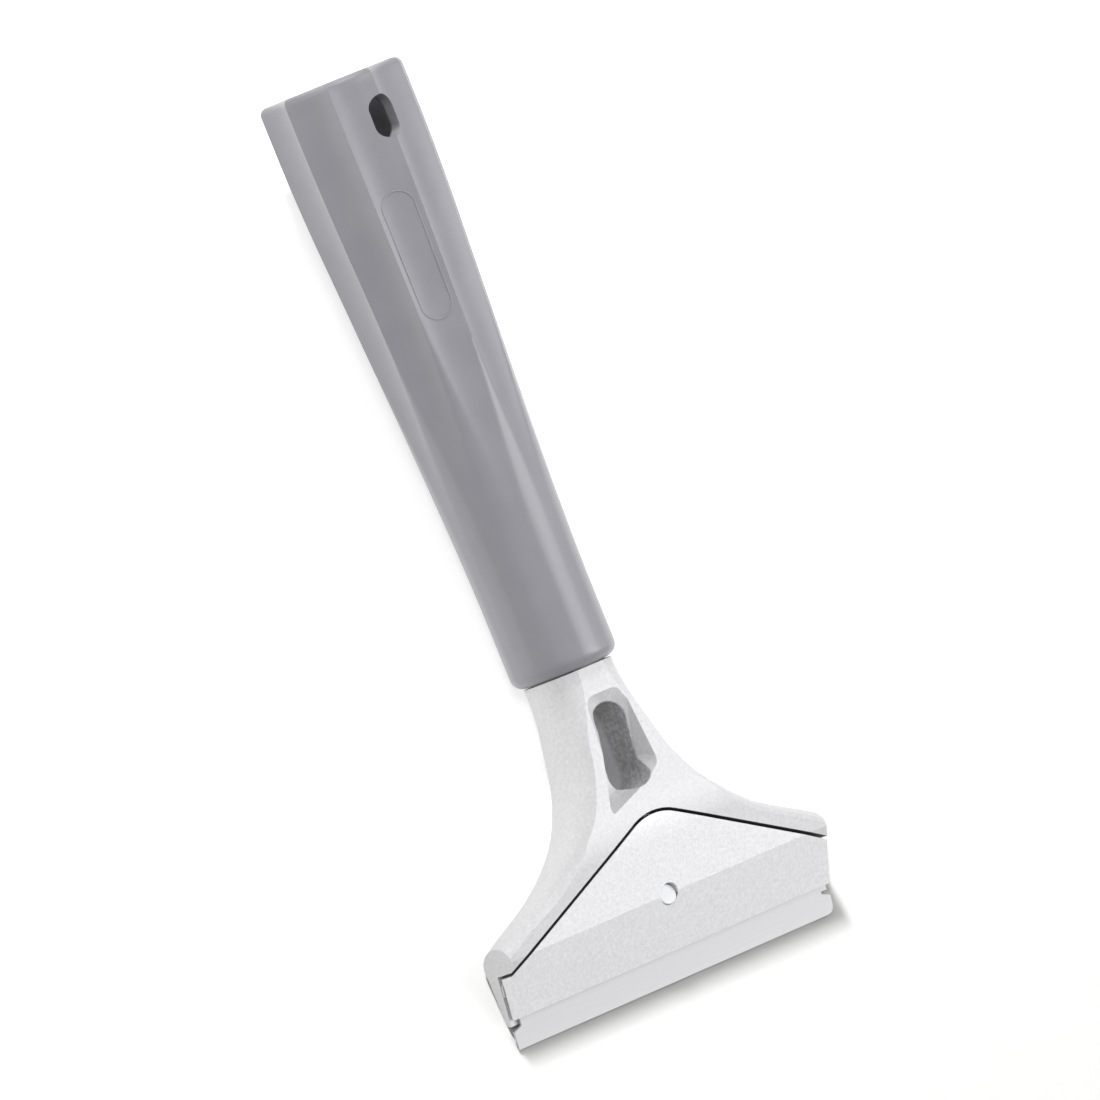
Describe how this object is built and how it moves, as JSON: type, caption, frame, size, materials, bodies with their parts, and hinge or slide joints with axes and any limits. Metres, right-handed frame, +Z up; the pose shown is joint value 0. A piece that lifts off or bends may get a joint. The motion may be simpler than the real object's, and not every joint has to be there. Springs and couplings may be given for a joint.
{
  "type": "short-handled scraper",
  "caption": "Hand scraper with a hollow fluted plastic handle, a flared cast head with a window in its neck, and a screw-clamped plate that holds a wide reversible steel blade.",
  "frame": {"origin": "centre of the bottom of the bounding box, on the surface that the tool lies on", "axes": "+X along the blade, +Y along the handle towards its open end, +Z up, out of the front; the tool lies on its back, so the handle's axis rises by five degrees towards +Y"},
  "size_m": [0.1, 0.2354, 0.0463],
  "materials": {
    "grip_plastic": "satin moulded",
    "head_casting": "tumbled die-cast",
    "plate_casting": "tumbled die-cast",
    "blade_steel": "ground",
    "fastener_steel": "zinc plated"
  },
  "bodies": {
    "head_and_handle": {"handle_grip": "grip_plastic", "scraper_head": "head_casting", "clamp_washer": "fastener_steel", "handle_screw": "fastener_steel", "handle_washer": "fastener_steel"},
    "screw": {"clamp_screw": "fastener_steel"},
    "plate": {"clamp_plate": "plate_casting"},
    "blade": {"scraper_blade": "blade_steel"}
  },
  "joints": [
    {"name": "screw_turn", "type": "hinge", "parent": "head_and_handle", "child": "screw", "pos_m": [0, -0.09731, 0.00818], "axis": [0, 0.0892, -0.996], "range_deg": [0, 1440]},
    {"name": "plate_lift", "type": "slide", "parent": "head_and_handle", "child": "plate", "axis": [0, -0.0892, 0.996], "range_m": [0, 0.0032]},
    {"name": "blade_slide", "type": "slide", "parent": "head_and_handle", "child": "blade", "axis": [1, 0, 0], "range_m": [-0.09, 0.09]}
  ],
  "couplings": [
    {"joint": "screw_turn", "follows": "plate_lift", "rad_per_m": 7854}
  ]
}
